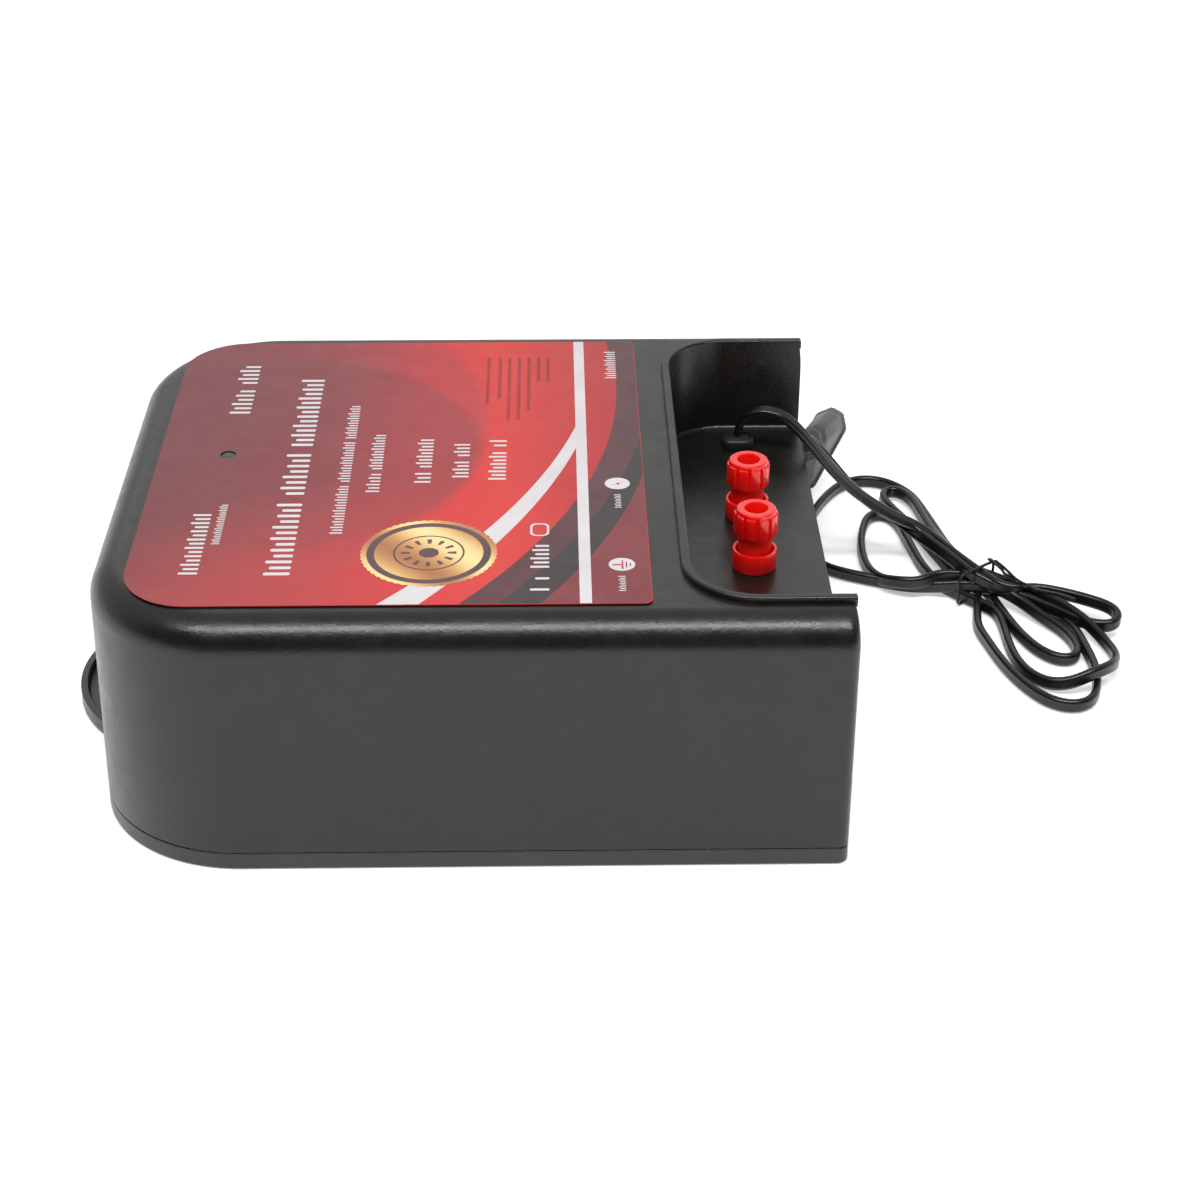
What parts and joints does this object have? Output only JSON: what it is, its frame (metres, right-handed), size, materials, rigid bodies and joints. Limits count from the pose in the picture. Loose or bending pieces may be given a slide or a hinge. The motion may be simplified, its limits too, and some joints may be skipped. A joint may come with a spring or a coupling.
{
  "type": "electric fence energizer",
  "caption": "Mains electric fence energizer: rounded moulded case with a terminal recess, screw-down fence and earth terminals, a hanging ear and a flat supply cord with a plug.",
  "frame": {"origin": "centre of the case and its hanging ear in plan, on the back face that rests on the surface", "axes": "+X towards the terminal end, +Z out of the label face, away from the wall it would hang on; +Y completes the frame"},
  "size_m": [0.4073, 0.2981, 0.0972],
  "materials": {
    "charcoal_abs": "fine-grained charcoal moulding",
    "black_foam": "closed-cell foam",
    "zinc_steel": "zinc plated",
    "label_film": "printed red film, satin",
    "led_grey": "unlit diffused lens",
    "terminal_red": "glossy red moulding",
    "brass": "turned",
    "tinned_copper": "tinned",
    "black_rubber": "satin black",
    "cord_black": "satin black sheath",
    "tie_black": "plastic-covered wire",
    "plug_grey": "dark grey moulding",
    "nickel": "nickel plated",
    "board_green": "solder resist",
    "capacitor_blue": "sleeved can",
    "aluminium": "extruded",
    "black_epoxy": "moulded epoxy",
    "clear_glass": "glass tube with plated caps",
    "green_plastic": "moulded",
    "capacitor_yellow": "moulded box",
    "cement_white": "cement body",
    "varistor_blue": "dipped disc",
    "laminated_steel": "varnished laminations",
    "nylon_white": "natural nylon",
    "winding_tape": "polyester tape",
    "red_wire": "insulated wire",
    "black_wire": "high-voltage insulated wire"
  },
  "bodies": {
    "casing": {"board_screw_1": "zinc_steel", "board_screw_2": "zinc_steel", "board_screw_3": "zinc_steel", "board_screw_4": "zinc_steel", "charge_resistor_1": "cement_white", "charge_resistor_2": "cement_white", "circuit_board": "board_green", "cord_tie": "tie_black", "cover_gasket": "black_foam", "cover_screw_1": "zinc_steel", "cover_screw_2": "zinc_steel", "cover_screw_3": "zinc_steel", "cover_screw_4": "zinc_steel", "cover_screw_5": "zinc_steel", "cover_screw_6": "zinc_steel", "earth_lead": "black_wire", "earth_terminal_base": "terminal_red", "earth_terminal_lug": "tinned_copper", "earth_terminal_nut": "brass", "earth_terminal_stud": "brass", "fence_lead": "black_wire", "fence_terminal_base": "terminal_red", "fence_terminal_lug": "tinned_copper", "fence_terminal_nut": "brass", "fence_terminal_stud": "brass", "filter_capacitor": "capacitor_yellow", "front_cover": "charcoal_abs", "front_label": "label_film", "fuse": "clear_glass", "fuse_holder": "tinned_copper", "heat_sink": "aluminium", "led_lead": "red_wire", "mains_inner_lead": "cord_black", "mains_terminal_block": "green_plastic", "plug_body": "plug_grey", "plug_pin_1": "nickel", "plug_pin_2": "nickel", "power_cord_hank": "cord_black", "power_cord_lead": "cord_black", "power_cord_tail": "cord_black", "primary_lead": "red_wire", "rear_cover": "charcoal_abs", "status_led": "led_grey", "storage_capacitor_1": "capacitor_blue", "storage_capacitor_2": "capacitor_blue", "strain_relief": "black_rubber", "thyristor": "black_epoxy", "transformer_bobbin": "nylon_white", "transformer_bracket": "zinc_steel", "transformer_core": "laminated_steel", "transformer_screw_1": "zinc_steel", "transformer_screw_2": "zinc_steel", "transformer_winding": "winding_tape", "varistor": "varistor_blue"},
    "fence_washer": {"fence_clamp_washer": "zinc_steel"},
    "fence_knob_body": {"fence_knob": "terminal_red"},
    "earth_washer": {"earth_clamp_washer": "zinc_steel"},
    "earth_knob_body": {"earth_knob": "terminal_red"}
  },
  "joints": [
    {"name": "fence_washer_lift", "type": "slide", "parent": "casing", "child": "fence_washer", "axis": [0, 0, 1], "range_m": [0, 0.00601]},
    {"name": "fence_knob_turn", "type": "hinge", "parent": "fence_washer", "child": "fence_knob_body", "pos_m": [0.1138, 0.0246, 0.0728], "axis": [0, 0, 1], "range_deg": [0, 2160]},
    {"name": "earth_washer_lift", "type": "slide", "parent": "casing", "child": "earth_washer", "axis": [0, 0, 1], "range_m": [0, 0.00601]},
    {"name": "earth_knob_turn", "type": "hinge", "parent": "earth_washer", "child": "earth_knob_body", "pos_m": [0.1138, -0.0148, 0.0728], "axis": [0, 0, 1], "range_deg": [0, 2160]}
  ],
  "couplings": [
    {"joint": "fence_washer_lift", "follows": "fence_knob_turn", "m_per_rad": 0.00015915},
    {"joint": "earth_washer_lift", "follows": "earth_knob_turn", "m_per_rad": 0.00015915}
  ]
}
